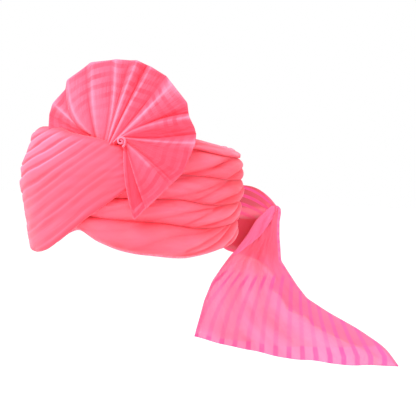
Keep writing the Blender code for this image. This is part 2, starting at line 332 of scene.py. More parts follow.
@dataclass(frozen=True)
class ClothFinish:
    """Woven cloth: its colours, with painted highlights and painted shade, its stripes, how sheer it is
    and how crinkled.
    """

    name: str
    # crest is the painted highlight colour, valley the painted shade colour, and body lies between them
    crest: Colour
    body: Colour
    valley: Colour
    stripe: Colour
    stripe_share: float = 0.0
    stripe_width: float = 0.32
    stripe_fade: float = 0.35
    sheer: float = 0.0
    # the painted shade colour of the opaque patch inside the tail's fold
    shade: Colour = (0.62, 0.030, 0.056)
    crinkle: float = 0.35
    crinkle_scale: tuple[float, float, float] = (20.0, 20.0, 230.0)
    along_cloth: bool = False
    roughness: float = 0.86
    sheen: float = 0.25
    glow: float = 0.0
    glow_depth: float = 0.008
    patch_scale: float = 38.0
    patch_share: float = 0.22
    fade_scale: float = 45.0
    crinkle_depth: float = 0.0016
    weave_scale: float = 1700.0
    weave_depth: float = 0.0003
    weave: float = 0.18

    def build(self) -> bpy.types.Material:
        """Makes the material.

        Returns:
            A node material that reads Object coordinates and the mesh's own numbers.
        """
        material = bpy.data.materials.new(self.name)
        material.use_nodes = True
        kit = NodeKit(material.node_tree)
        place = kit.add("TexCoord", {}).outputs["Object"]
        # painted light and shade: the mesh's number runs from the painted highlight at 0, through the body
        # at 0.35, to the painted shade at 1; in places it also carries the cloth's own lighter hems
        relief = ((0.0, self.crest), (1.0, self.valley), (0.35, self.body))
        tint = kit.ramp(kit.attribute("painted_shading_and_tone"), relief, "LINEAR")
        patch = kit.stretch(kit.noise(place, self.patch_scale, 3.0), (0.35, 0.75), (0.0, self.patch_share))
        tint = kit.mix(patch, tint, self.stripe)
        shader = material.node_tree.nodes["Principled BSDF"]
        if self.stripe_share:
            lines = self._stripes(kit, place)
            tint = kit.mix(lines, tint, self.stripe)
            if self.sheer:
                # painted shade: where the mesh asks for it, the sheer cloth turns opaque and takes the
                # painted shade colour
                clear = kit.stretch(lines, (0.0, 1.0), (1.0 - self.sheer, 1.0 - 0.35 * self.sheer))
                opaque_painted_shade = kit.attribute("opaque_painted_shade")
                kit.feed(shader, {"Alpha": kit.math("MAXIMUM", clear, opaque_painted_shade)})
                tint = kit.mix(opaque_painted_shade, tint, self.shade)
        surface = {
            "Base Color": tint,
            "Normal": self._bump(kit, place),
            "Roughness": self.roughness,
            "Sheen Weight": self.sheen,
            "Sheen Roughness": 0.45,
            "Sheen Tint": (1.0, 0.62, 0.74),
            "Specular IOR Level": 0.18,
            "Subsurface Weight": self.glow,
            "Subsurface Radius": (1.0, 0.28, 0.30),
            "Subsurface Scale": self.glow_depth,
        }
        kit.feed(shader, surface)
        material.diffuse_color = (*self.body, 1.0)
        return material

    def _stripes(self, kit: NodeKit, place: Socket) -> Socket:
        """The woven stripes, from the attribute that counts them across the cloth.

        Args:
            kit: the material's nodes.
            place: the Object coordinates.

        Returns:
            The socket with how strongly a stripe shows.
        """
        half = self.stripe_width / 2
        none, full = (0.0, 0.0, 0.0), (1.0, 1.0, 1.0)
        rise = ((0.5 - half - 0.06, none), (0.5 - half + 0.03, full))
        fall = ((0.5 + half - 0.03, full), (0.5 + half + 0.06, none))
        counted = kit.math("FRACT", kit.attribute("stripe"), 0.0)
        lines = kit.ramp(counted, rise + fall, "EASE")
        lines = kit.math("MULTIPLY", lines, kit.attribute("shown"))
        cloud = kit.noise(place, self.fade_scale, 2.0)
        patches = kit.stretch(cloud, (0.35, 0.60), (self.stripe_fade, 1.0))
        lines = kit.math("MULTIPLY", lines, patches)
        return kit.math("MULTIPLY", lines, self.stripe_share)

    def _bump(self, kit: NodeKit, place: Socket) -> Socket:
        """Soft crinkles and, over them, the weave's grain.

        Args:
            kit: the material's nodes.
            place: the Object coordinates.

        Returns:
            The socket with the shading normal.
        """
        way = place
        if self.along_cloth:
            flat = {"X": kit.attribute("run"), "Y": kit.attribute("cross")}
            way = kit.add("CombineXYZ", flat).outputs["Vector"]
        mapping = kit.add("Mapping", {"Vector": way, "Scale": self.crinkle_scale})
        soft = kit.noise(mapping.outputs["Vector"], 1.0, 4.0)
        crinkles = {"Height": soft, "Strength": self.crinkle, "Distance": self.crinkle_depth}
        under = kit.add("Bump", crinkles).outputs["Normal"]
        grain = {"Height": kit.noise(place, self.weave_scale, 2.0), "Normal": under}
        weave = {"Strength": self.weave, "Distance": self.weave_depth}
        return kit.add("Bump", {**grain, **weave}).outputs["Normal"]


def add_object(name: str, data: bpy.types.ID) -> bpy.types.Object:
    """Adds an object to the scene.

    Args:
        name: its name.
        data: its mesh, lamp or camera.

    Returns:
        The new object.
    """
    thing = bpy.data.objects.new(name, data)
    bpy.context.scene.collection.objects.link(thing)
    return thing


@dataclass(frozen=True)
class ClothGrid:
    """A flat grid of cloth that a piece bends into its own shape."""

    name: str
    columns: int
    rows: int
    weld: float = 0.00002

    def bend(self, place: Callable[[Array, Array], Places]) -> bpy.types.Object:
        """Bends the grid and closes the edges that meet.

        Args:
            place: takes the shares across and along, gives points and attributes.

        Returns:
            The new object, linked to the scene, with its faces pointing out.
        """
        bm = bmesh.new()
        bmesh.ops.create_grid(bm, x_segments=self.columns, y_segments=self.rows, size=0.5)
        mesh = bpy.data.meshes.new(self.name)
        bm.to_mesh(mesh)
        flat = np.empty(len(mesh.vertices) * 3)
        mesh.vertices.foreach_get("co", flat)
        flat = flat.reshape(-1, 3) + 0.5
        points, numbers = place(flat[:, 0], flat[:, 1])
        mesh.vertices.foreach_set("co", np.ascontiguousarray(points, dtype=np.float32).ravel())
        for key, values in numbers.items():
            layer = mesh.attributes.new(key, "FLOAT", "POINT")
            layer.data.foreach_set("value", np.ascontiguousarray(values, dtype=np.float32))
        bm.clear()
        bm.from_mesh(mesh)
        bmesh.ops.remove_doubles(bm, verts=bm.verts, dist=self.weld)
        bmesh.ops.recalc_face_normals(bm, faces=bm.faces)
        if sum(face.normal.dot(face.calc_center_median()) for face in bm.faces) < 0:
            bmesh.ops.reverse_faces(bm, faces=bm.faces)
        bm.to_mesh(mesh)
        bm.free()
        mesh.shade_smooth()
        return add_object(self.name, mesh)


def give_wall(piece: bpy.types.Object, thickness: float, offset: float) -> None:
    """Gives a sheet its cloth thickness.

    Args:
        piece: the sheet.
        thickness: the cloth's thickness in metres.
        offset: -1 to thicken it inwards, 0 to both sides.
    """
    wall = piece.modifiers.new("cloth", "SOLIDIFY")
    wall.thickness = thickness
    wall.offset = offset
    wall.use_rim = True


def dress(piece: bpy.types.Object, finish: bpy.types.Material, slot: Slot, *nodes: str) -> None:
    """Gives a piece its finish and its body, and hides the solids that it stands for.

    Args:
        piece: the piece.
        finish: its material.
        slot: the record's slot for it; not used.
        *nodes: the solids that it stands for.
    """
    piece.data.materials.clear()
    piece.data.materials.append(finish)
    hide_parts(*nodes)
    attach(piece, "root")
    LOG.info("%s: %d faces", piece.name, len(piece.data.polygons))


@dataclass
class WrapCoils:
    """The stacked twisted wraps and the thin fold that tops them."""

    form: WrapForm
    finish: bpy.types.Material
    columns: int = 420
    outer_rows: int = 34
    top: int = 4
    seam_depth: float = 0.0045
    seam_gap: float = 0.00004
    rim_depth: float = 0.0100
    top_depth: float = 0.0024
    top_puff: float = 0.0050
    rim_sag: float = 0.0022
    fold_depth: float = 0.0042
    fold_every: float = 30.0
    fold_sweep: float = 44.0
    mm_per_degree: float = 1.98
    deepest: float = 0.0060
    folds: Table = (
        # phi, share of the fold depth
        (-180, 0.8),
        (-130, 1.0),
        (-95, 1.0),
        (-65, 0.65),
        (-45, 0.40),
        (-15, 0.30),
        (40, 0.3),
        (110, 0.4),
        (150, 0.8),
        (180, 0.8),
    )
    creases: Table = (
        # coil, from_phi, from_z, to_phi, to_z, depth_mm, width_mm
        (3, -118, 95, -98, 90.5, 2.2, 2.0),
        (3, -98, 90.5, -86, 85.5, 2.6, 2.0),
        (3, -86, 85.5, -66, 80.5, 2.0, 2.2),
        (2, -104, 74, -88, 64, 2.8, 2.0),
        (2, -88, 64, -73, 55, 2.6, 2.2),
        (1, -97, 51, -87, 44, 2.8, 1.9),
        (1, -87, 44, -68, 32, 2.2, 1.9),
        (0, -104, 28, -90, 18.5, 2.6, 2.0),
        (0, -90, 18.5, -72, 7, 2.2, 2.4),
    )
    shades: Table = (
        # added painted shade, phi where it begins, phi where it is full
        (0.16, -66.0, -30.0),
        (0.08, -66.0, -30.0),
        (0.34, -84.0, -104.0),
        (0.34, -84.0, -104.0),
        (0.00, 0.0, 1.0),
    )
    bank: Table = (
        # phi, share of the top fold's puff
        (-180, 1.0),
        (-70, 1.0),
        (-45, 0.1),
        (60, 0.1),
        (90, 1.0),
        (180, 1.0),
    )

    def build(self) -> None:
        """Makes the four coils and the top fold, from the rim up."""
        for number in range(self.top + 1):
            rows = self.outer_rows + sum(self._legs(number))
            grid = ClothGrid(f"wrap_{number + 1}", self.columns, rows)
            piece = grid.bend(lambda u, v, n=number: self._place(n, u, v))
            dress(piece, self.finish, Slot.WRAP, f"coil_{number + 1}")

    def _legs(self, number: int) -> tuple[int, int, int]:
        """How many rows run over a coil, down its inside and back under it."""
        return (10, 4, 4) if number == self.top else (5, 4, 5)

    def _crease(self, number: int, phi: Array, z: Array) -> Array:
        """Works out the drawn creases of one coil.

        Args:
            number: the coil, counted from the rim.
            phi: angles in degrees.
            z: heights in metres.

        Returns:
            Depths in metres.
        """
        depth = np.zeros_like(phi)
        for coil, phi_a, z_a, phi_b, z_b, deep, wide in self.creases:
            if coil != number:
                continue
            along = np.array([(phi_b - phi_a) * self.mm_per_degree, z_b - z_a])
            px = (phi - phi_a) * self.mm_per_degree
            pz = z / MM - z_a
            share = unit((px * along[0] + pz * along[1]) / (along @ along))
            away = np.hypot(px - share * along[0], pz - share * along[1])
            depth = np.maximum(depth, deep * np.exp(-((away / wide) ** 1.4)))
        return depth * MM

    def _dent(self, number: int, phi: Array, t: Array, z: Array) -> Array:
        """Works out the folds, the creases and the soft ripple of one coil.

        Args:
            number: the coil, counted from the rim.
            phi: angles in degrees.
            t: 0 at the coil's lower seam and 1 at its upper one.
            z: heights in metres.

        Returns:
            Depths in metres.
        """
        wobble = 5.0 * np.sin(np.radians(3 * phi) + number)
        wobble = wobble + 3.0 * np.sin(np.radians(7 * phi) + 2 * number)
        phase = (phi + self.fold_sweep * (t - 0.5) + 11.0 * number + wobble) / self.fold_every
        valley = 1 - np.abs(np.sin(math.pi * phase)) ** 0.55
        strength = eased(self.folds, 1, phi, 6.0, 360.0) * (number != self.top)
        soft = 0.0007 * ripple(phi, 1.5 * t + number, 20 + number)
        return self.fold_depth * strength * valley + self._crease(number, phi, z) + soft

    def _place(self, number: int, u: Array, v: Array) -> Places:
        """Bends the grid to one coil: outside, over, down the inside and back under.

        Args:
            number: the coil, counted from the rim.
            u: shares of the way across the grid.
            v: shares of the way along it.

        Returns:
            The points and their attributes.
        """
        form, top = self.form, number == self.top
        over, inner, under = self._legs(number)
        row = np.rint(v * (self.outer_rows + over + inner + under))
        phi = -180.0 + 360.0 * u
        low = form.seam(number, phi) + self.seam_gap / 2
        high = form.seam(number + 1, phi) - self.seam_gap / 2
        t = 0.5 - 0.5 * np.cos(math.pi * unit(row / self.outer_rows))
        z = low + (high - low) * t
        seam_depth = self.top_depth if top else self.seam_depth
        rim_depth = self.rim_depth if number == 0 else seam_depth
        depth = np.where(t < 0.5, rim_depth, seam_depth)
        bulge = unit(1 - np.abs(2 * t - 1) ** 2.3) ** (1 / 1.9)
        dent = self._dent(number, phi, t, z) * bulge
        outward = -form.inset(phi, z) - depth * (1 - bulge) - dent
        points = form.at(form.half, phi, z, outward)
        corners = (
            self._edge(phi, high, seam_depth),
            form.at(form.head_half, phi, high, 0.0 * phi),
            form.at(form.head_half, phi, low, 0.0 * phi),
            self._edge(phi, low, rim_depth),
        )
        starts = (self.outer_rows, self.outer_rows + over, self.outer_rows + over + inner)
        shares = [unit((row - start) / count) for start, count in zip(starts, (over, inner, under))]
        groove = top * bump(shares[0] - 0.34, 0.09)
        bank = np.interp((phi + 180) % 360 - 180, *np.array(self.bank).T)
        puff = self.top_puff * top * bank * np.sin(math.pi * shares[0]) ** 0.8 * (1 - 0.55 * groove)
        sag = self.rim_sag * (number == 0) * np.sin(math.pi * shares[2])
        lifts = (puff, 0.0 * phi, -sag)
        for start, share, first, last, lift in zip(starts, shares, corners, corners[1:], lifts):
            path = first * (1 - share)[:, None] + last * share[:, None]
            path[:, 2] += lift
            points = np.where((row > start)[:, None], path, points)
        # painted shade: darker at the seams between the coils, in the folds and creases, towards phi -112
        # and over the angles in shades; on the top fold, darker in its groove
        added, begins, full = self.shades[number]
        painted_shading_and_tone = 0.22 + (1 - bulge) * 1.1 + dent / self.deepest + 0.20 * smooth_step(-82.0, -112.0, phi)
        painted_shading_and_tone = unit(painted_shading_and_tone + added * smooth_step(begins, full, phi))
        return points, {"painted_shading_and_tone": np.where(row > self.outer_rows, 0.30 + 0.55 * groove, painted_shading_and_tone)}

    def _edge(self, phi: Array, z: Array, depth: float) -> Array:
        """The oval at a coil's seam, where its bulge ends."""
        return self.form.at(self.form.half, phi, z, -self.form.inset(phi, z) - depth)


@dataclass
class CrownCloth:
    """The dome over the head, of broad strips laid across each other."""

    finish: bpy.types.Material
    half: tuple[float, float] = (0.0774, 0.0974)
    columns: int = 180
    rows: int = 70
    rim_z: float = 0.090
    rise: float = 0.032
    cloth: float = 0.0025
    strip: float = 0.024
    strip_step: float = 0.0022

    def build(self) -> None:
        """Makes the crown, walled with its cloth's thickness."""
        piece = ClothGrid("crown_cloth", self.columns, self.rows).bend(self._place)
        give_wall(piece, self.cloth, -1.0)
        dress(piece, self.finish, Slot.WRAP, "crown")

    def _place(self, u: Array, v: Array) -> Places:
        """Bends the grid to the dome and lays its strips.

        Args:
            u: shares of the way across the grid.
            v: shares of the way along it.

        Returns:
            The points and their attributes.
        """
        turn = 2 * math.pi * u
        x = self.half[0] * v * np.cos(turn)
        y = self.half[1] * v * np.sin(turn)
        across = (0.45 * x + y) / self.strip + 0.12 * np.sin(x * 60)
        share = across - np.floor(across)
        fade = 1 - v**5
        step = self.strip_step * (1 - share) ** 0.8 * smooth_step(0.0, 0.10, share) * fade
        fine = 0.0006 * np.sin(across * 31 + 3 * np.sin(x * 40)) * fade
        z = self.rim_z + self.rise * (1 - v**3.2) + step + fine - 0.5 * self.strip_step * fade
        # painted shade: darker beside the step of each strip and towards the rim
        painted_shading_and_tone = unit(0.9 - 3.0 * share) * 0.5 + unit(v - 0.86) * 3
        return np.stack([x, y, z], axis=-1), {"painted_shading_and_tone": unit(painted_shading_and_tone)}


@dataclass
class FrontBand:
    """The broad band of long pleats over the front and the wearer's right."""

    form: WrapForm
    finish: bpy.types.Material
    columns: int = 320
    rows: int = 150
    first: float = -42.0
    last: float = 172.0
    cloth: float = 0.0030
    ease: float = 0.0018
    slide: float = 18.0
    low_roll: tuple[float, float] = (5.0, 0.0028)
    top_roll: tuple[float, float] = (7.0, 0.0050)
    edges: Table = (
        # phi, lower, top
        (-42, 0.608, 0.875),
        (-36, 0.540, 0.915),
        (-32, 0.492, 0.931),
        (-23, 0.390, 0.968),
        (-18, 0.342, 0.981),
        (-13, 0.280, 0.992),
        (-8, 0.233, 1.003),
        (-2, 0.175, 1.018),
        (6, 0.110, 1.048),
        (13, 0.067, 1.054),
        (20, 0.042, 1.058),
        (30, 0.025, 1.056),
        (50, 0.021, 1.050),
        (100, 0.030, 1.005),
        (150, 0.055, 0.905),
        (172, 0.180, 0.720),
    )
    pleats: Table = (
        # height of the valley below it, how proud it stands, how sharp its upper edge is
        (-12.0, 0.5, 0.1),
        (1.0, 0.3, 0.1),
        (9.0, 0.25, 0.0),
        (23.0, 0.45, 0.2),
        (30.0, 0.25, 0.0),
        (39.7, 0.35, 0.1),
        (52.0, 0.4, 0.2),
        (59.5, 0.8, 0.4),
        (70.0, 1.9, 1.0),
        (84.6, 1.7, 0.8),
        (97.0, 1.9, 0.9),
        (109.3, 2.1, 0.6),
        (120.5, 2.5, 0.4),
        (131.0, 2.2, 0.4),
        (141.0, 1.2, 0.3),
        (152.0, 0.9, 0.3),
    )
    fade: Table = (
        # phi, share of the relief
        (-42, 0.25),
        (-24, 0.35),
        (-10, 0.60),
        (5, 0.85),
        (25, 1.0),
        (60, 1.1),
        (172, 1.0),
    )

    def build(self) -> None:
        """Makes the pleated band, walled with its cloth's thickness."""
        piece = ClothGrid("front_wrap", self.columns, self.rows).bend(self._place)
        give_wall(piece, self.cloth, -1.0)
        dress(piece, self.finish, Slot.WRAP, "front_band")

    def _relief(self, phi: Array, up: Array) -> tuple[Array, Array]:
        """How proud the pleats stand, and their painted highlights and painted shade.

        Args:
            phi: angles in degrees.
            up: millimetres above the lower edge, counted along the pleats.

        Returns:
            Heights in metres, and the painted shading from 0, a painted highlight, to 1, painted shade.
        """
        lines, proud, sharp = np.array(self.pleats).T
        index = np.clip(np.searchsorted(lines, up) - 1, 0, len(lines) - 2)
        width = lines[index + 1] - lines[index]
        share = unit((up - lines[index]) / width)
        edge = sharp[index]
        drop = 0.30 - 0.16 * edge
        climb = smooth_step(0.0, 0.24, share) * (0.62 + 0.38 * share)
        fall = 1 - smooth_step(0.0, 1.0, unit((share - 1 + drop) / drop))
        strength = eased(self.fade, 1, phi, 6.0)
        shape = climb * fall
        # painted light and shade: lighter where a pleat stands proud, a painted shade line under each
        # upper edge and along each lower valley, a painted highlight on the proud edge, lighter towards
        # the top
        tint = 0.40 - 0.12 * shape
        tint = tint + (0.04 + 0.46 * edge) * bump((1 - share) * width, 1.3)
        uneven = 0.5 + 0.5 * np.sin(0.13 * up + np.radians(phi) * 2.2) * np.sin(0.31 * up + 2.0)
        tint = tint + (0.05 + 0.13 * uneven) * bump(share * width, 2.4)
        tint = tint - 0.24 * edge * bump((share - 1 + 1.05 * drop) * width, 1.2)
        tint = tint - 0.10 * smooth_step(66.0, 112.0, up)
        tint = 0.35 + (tint - 0.35) * np.minimum(1.0, 0.2 + strength)
        return MM * proud[index] * shape * strength, tint

    def _rolled(self, room: Array, width: float) -> Array:
        """How far an edge rolls in, from 1 at the edge to 0 at the roll's width."""
        return 1 - np.sqrt(unit(1 - (1 - unit(room / width)) ** 2))

    def _place(self, u: Array, v: Array) -> Places:
        """Bends the grid round the coils, with its pleats and its rolled edges.

        Args:
            u: shares of the way across the grid.
            v: shares of the way along it.

        Returns:
            The points and their attributes.
        """
        form = self.form
        phi = self.first + (self.last - self.first) * u
        sewn = form.height * eased(self.edges, 1, phi, 2.5)
        lower = sewn + form.rise(phi)
        upper = form.height * eased(self.edges, 2, phi, 2.5)
        z = lower + (upper - lower) * v
        wander = 0.9 * np.sin(np.radians(phi) * 5 + 1.0) + 0.5 * np.sin(np.radians(phi) * 13 + z * 70)
        up = (z - sewn) / MM + self.slide * smooth_step(4.0, 62.0, phi)
        up = up + 9.0 * smooth_step(60.0, 95.0, up) * smooth_step(2.0, -24.0, phi) + wander
        rib, tint = self._relief(phi, up)
        above, room = (z - lower) / MM, (upper - z) / MM
        smooth_top = smooth_step(0.5, 9.0, room)
        tint = 0.26 + (tint - 0.26) * (0.15 + 0.85 * smooth_top)
        start = unit(above / self.low_roll[0])
        low_roll = self._rolled(above, self.low_roll[0])
        top_roll = self._rolled(room, self.top_roll[0])
        over = unit((upper - form.seam(5, phi)) / MM / 12.0)
        lift = form.gap + self.cloth + self.ease + rib * smooth_top * np.minimum(1.0, start * 4)
        lift = lift - self.low_roll[1] * low_roll - self.top_roll[1] * top_roll * over
        lift = lift + 0.0006 * ripple(phi, 4 * v, 5)
        ends = smooth_step(0.0, 0.020, 1 - u)
        lift = lift * ends + (1 - ends) * (form.gap + self.cloth + 0.0005)
        points = form.at(form.half, phi, z, lift - form.inset(phi, z))
        # painted shade in the rolled upper and lower edges
        painted_shading_and_tone = unit(tint + 0.25 * top_roll + 0.3 * low_roll)
        return points, {"painted_shading_and_tone": painted_shading_and_tone, "run": 0.0021 * phi, "cross": up * MM}


@dataclass(frozen=True)
class Spread:
    """The upright plane that the fan and the tail spread in."""

    facing: float = 35.0

    def points(self, out: Array, deep: Array, high: Array) -> Array:
        """Finds points from the plane's own directions.

        Args:
            out: how far to the right.
            deep: how far away.
            high: how far up.

        Returns:
            The points.
        """
        turn = math.radians(self.facing)
        x = math.cos(turn) * out - math.sin(turn) * deep
        y = math.sin(turn) * out + math.cos(turn) * deep
        return np.stack([x, y, high], axis=-1)


@dataclass
class Fan:
    """The pleated fan, with the flap that its last pleats make, and the rolled knot."""

    spread: Spread
    finish: bpy.types.Material
    cloth: float = 0.0010
    stripe: float = 0.0095
    columns_per_mm: float = 1.45
    rows: int = 70
    flap_bulge: float = 0.0060
    flap_from: int = 21
    hem: float = 0.13
    neck: float = 0.06
    knot_grid: tuple[int, int] = (120, 22)
    knot_turns: float = 1.55
    knot_wall: float = 0.0015
    tuck: Table = (
        # fold line, out, deep, up, in mm from the root
        (0, 0.0, 1.0, -6.0),
        (9, 0.0, 2.0, -7.0),
        (13, -1.5, 7.0, -8.5),
        (16, -3.0, 12.0, -9.0),
        (22, -5.5, 15.0, -10.5),
        (29, -5.0, 13.0, -9.0),
    )
    knot_at: tuple[float, float, float] = (-0.0058, -0.1183, 0.1140)
    knot_half: tuple[float, float, float] = (0.0047, 0.0068, 0.0048)
    lines: Table = (
        # root_out, root_deep, root_up, tip_out, tip_deep, tip_up, bow, relief in mm, painted shade, holds
        (-43.5, -84.5, 113.1, -79.1, -68.5, 124.4, 0.0, 0.3, 0.45, 9),
        (-41.5, -85.2, 117.9, -77.9, -71.6, 138.9, 0.0, -1.3, 0.50, 9),
        (-38.9, -86.6, 119.4, -74.0, -74.6, 149.2, -0.3, 2.2, 0.20, 9),
        (-36.9, -88.6, 119.5, -61.4, -78.2, 163.1, -8.0, -1.9, 0.42, 9),
        (-35.3, -90.0, 119.2, -59.5, -79.6, 171.7, -7.4, 2.0, 0.22, 9),
        (-31.3, -92.8, 118.1, -40.7, -82.4, 185.2, -2.3, -2.2, 0.38, 9),
        (-29.2, -94.8, 116.4, -35.9, -84.4, 188.4, -2.0, 1.6, 0.25, 9),
        (-23.0, -101.7, 113.3, -16.1, -91.3, 190.3, 2.4, -2.2, 0.42, 9),
        (-21.4, -103.4, 111.9, -12.1, -93.0, 191.0, 2.8, 2.0, 0.25, 9),
        (-20.3, -105.8, 111.2, 2.5, -95.4, 189.8, -0.6, -1.8, 0.52, 9),
        (-19.0, -107.9, 110.6, 8.3, -97.5, 189.8, -1.4, 3.0, 0.30, 9),
        (-17.8, -109.3, 110.5, 18.3, -98.1, 185.2, -0.6, -2.8, 0.58, 9),
        (-16.4, -111.0, 111.1, 22.0, -99.8, 183.6, -1.3, 3.2, 0.40, 9),
        (-14.1, -113.4, 112.4, 36.2, -100.6, 174.8, 1.1, -1.8, 0.62, 9),
        (-12.8, -114.4, 113.2, 41.5, -101.6, 168.1, 0.7, 2.8, 0.26, 9),
        (-10.8, -115.5, 114.3, 55.8, -101.1, 149.7, 0.0, 0.4, 0.62, 9),
        (-9.6, -116.1, 115.2, 57.1, -100.9, 139.8, -5.1, -2.2, 0.66, 9),
        (-8.3, -116.8, 115.9, 57.9, -101.6, 136.4, -3.7, 2.8, 0.42, 9),
        (-6.8, -117.2, 116.9, 62.4, -101.2, 126.8, 0.0, -0.6, 0.86, 9),
        (-5.6, -117.5, 117.3, 64.3, -101.5, 120.2, 2.0, -1.8, 0.78, 9),
        (-4.3, -117.9, 117.1, 63.7, -101.1, 112.0, 1.1, 2.6, 0.36, 9),
        (-3.0, -118.2, 115.6, 59.2, -101.4, 100.7, 0.0, 0.2, 0.62, 9),
        (-2.4, -118.6, 114.3, 51.5, -105.0, 83.2, 0.0, 0.3, 0.62, 9),
        (-2.2, -118.9, 113.2, 42.4, -108.5, 74.4, -1.9, -2.2, 0.55, 0.60),
        (-2.0, -118.9, 112.1, 38.3, -110.1, 70.6, -1.6, 2.0, 0.34, 0.60),
        (-1.6, -118.9, 110.8, 27.5, -114.1, 60.2, 0.0, 0.8, 0.46, 9),
        (-0.9, -118.9, 108.9, 16.9, -119.7, 50.3, 0.4, 2.4, 0.42, 0.84),
        (-0.7, -118.9, 109.1, 19.8, -119.7, 53.1, 0.0, -2.0, 0.90, 0.84),
        (-1.6, -118.9, 109.7, 6.7, -122.1, 40.4, 1.1, -1.2, 0.66, 0.84),
        (-2.8, -118.9, 111.2, 5.5, -123.7, 42.1, 3.0, 0.6, 0.35, 9),
    )

    def build(self) -> None:
        """Makes the pleated sheet and the rolled knot."""
        fan = ClothGrid("pleated_fan", int(self._columns()[-1]), self.rows).bend(self._place)
        give_wall(fan, self.cloth, 0.0)
        dress(fan, self.finish, Slot.FAN, "fan")
        knot = ClothGrid("rolled_knot", *self.knot_grid).bend(self._roll)
        give_wall(knot, self.knot_wall, 0.0)
        dress(knot, self.finish, Slot.FAN, "fan_knot")

    def _apart(self) -> Array:
        """How far apart the tips of neighbouring fold lines are, in mm."""
        return np.linalg.norm(np.diff([row[3:6] for row in self.lines], axis=0), axis=1)

    def _columns(self) -> Array:
        """The grid column of each fold line, closer where the rim is short."""
        between = np.maximum(7, np.rint(self._apart() * self.columns_per_mm))
        return np.concatenate([[0.0], np.cumsum(between)])

    def _read(self, column: int, at: Array, spread: float) -> Array:
        """Reads a column of the fold lines at places counted in lines."""
        return eased([(index, *row) for index, row in enumerate(self.lines)], column + 1, at, spread)

    def _on_line(self, values: Sequence[Array], share: Array) -> Array:
        """The point at a share of a fold line, or of several.

        Args:
            values: root and tip as out, deep and up, then the bow, in mm.
            share: 0 at the root and 1 at the rim.

        Returns:
            Points as out, deep and up, in mm.
        """
        root, tip = np.stack(values[:3], axis=-1), np.stack(values[3:6], axis=-1)
        line = tip - root
        side = np.stack([line[..., 2], 0.0 * line[..., 0], -line[..., 0]], axis=-1)
        side = side / np.linalg.norm(side, axis=-1, keepdims=True)
        bow = values[6] * np.sin(math.pi * share**0.85)
        return root + line * share[..., None] + side * bow[..., None]

    def _place(self, u: Array, v: Array) -> Places:
        """Bends the grid to the pleats.

        Args:
            u: shares of the way across the grid.
            v: shares of the way along it.

        Returns:
            The points and their attributes.
        """
        columns = self._columns()
        at = np.interp(u * columns[-1], columns, np.arange(len(columns)))
        tucked = unit(1 - v / self.neck)
        v = unit((v - self.neck) / (1 - self.neck))
        spot = self._on_line([self._read(column, at, 0.10) for column in range(7)], v)
        inward = np.stack([eased(self.tuck, column, at, 0.5) for column in (1, 2, 3)], axis=-1)
        spot = spot + inward * np.stack([tucked, tucked, tucked**1.6], axis=-1)
        relief = self._read(7, at, 0.13)
        holds = self._read(9, at, 0.3)
        relief = relief * (1 - smooth_step(-0.08, 0.10, v - holds))
        belly = np.sin(math.pi * (at % 1.0)) * unit(np.abs(relief) / 2.5)
        relief = (relief + 0.5 * belly) * np.maximum(0.12, v) ** 0.6
        soft = 0.7 * np.sin(at * 1.7 + 4 * v) * v + 0.5 * np.sin(at * 3.9 - 9 * v + 1) * v
        soft = soft + 0.25 * np.sin(at * 9.3 + 5 * v) * v
        flap = smooth_step(self.flap_from - 0.5, self.flap_from + 2.5, at)
        hem = 0.7 * flap * smooth_step(1 - self.hem - 0.012, 1 - self.hem + 0.012, v)
        forward = relief + soft + hem + self.flap_bulge / MM * flap * np.sin(math.pi * v)
        points = self.spread.points(spot[:, 0], spot[:, 1] - forward, spot[:, 2]) * MM
        return points, self._tints(at, spot, v, flap)

    def _tints(
        self, at: Array, spot: Array, share: Array, flap: Array
    ) -> dict[str, Array]:
        """Works out the pleats' painted highlights and painted shade, and the woven stripes.

        Args:
            at: the place among the fold lines.
            spot: the points before the relief, as out, deep and up in mm.
            share: how far out from the root.
            flap: 1 on the hanging flap and 0 on the fan.

        Returns:
            The attributes of the fan's points.
        """
        # painted shade of each panel, from the lines' painted shade column
        tint = self._read(8, at, 0.30)
        for index, row in enumerate(self.lines):
            relief, holds = row[7], row[9]
            if abs(relief) < 1.2:
                continue
            line = self._on_line([np.full_like(share, value) for value in row[:7]], share)
            away = np.linalg.norm((spot - line)[:, [0, 2]], axis=1)
            kept = 1 - smooth_step(-0.10, 0.06, share - holds)
            before = at < index
            # a painted highlight along a proud fold line, painted shade along a sunken one
            if relief > 0:
                glow = bump(away, np.where(before, 0.7, 1.9))
                tint = tint - 0.085 * relief * glow * kept * (0.55 + 0.45 * np.sin(math.pi * share))
            else:
                shade = bump(away, np.where(before, 1.8, 0.7))
                tint = tint - 0.17 * relief * shade * kept * (1.15 - 0.75 * share)
        # painted shade along the hem's fold; the hem strip stays light; lighter at the rim, most on the
        # right-hand lines
        edge = np.abs(share - (1 - self.hem)) * 60.0
        strip = flap * smooth_step(1 - self.hem - 0.01, 1 - self.hem + 0.01, share)
        tint = tint * (1 - strip) + np.minimum(tint, 0.36) * strip
        tint = tint + 0.22 * flap * bump(edge, 0.8)
        tint = tint - 0.10 * smooth_step(0.97, 0.99, share)
        rim = smooth_step(12.5, 14.0, at) * smooth_step(22.0, 20.0, at)
        tint = tint - 0.18 * rim * smooth_step(0.70, 0.98, share)
        lengths = eased([(i, math.dist(r[:3], r[3:6])) for i, r in enumerate(self.lines)], 1, at, 0.8)
        count = (share - 1) * lengths * MM / self.stripe + 0.16 * np.sin(at * 2.1 + 3 * share) + 40.0
        reach = np.concatenate([[0.0], np.cumsum(self._apart())])
        seen = 0.15 + 0.85 * smooth_step(0.25, 0.70, share)
        return {
            "painted_shading_and_tone": unit(tint),
            "stripe": count,
            # the stripes fade under the painted highlights
            "shown": seen * (0.2 + 0.8 * smooth_step(0.06, 0.30, tint)),
            "run": share * 0.08,
            "cross": np.interp(at, np.arange(len(reach)), reach) * MM,
        }

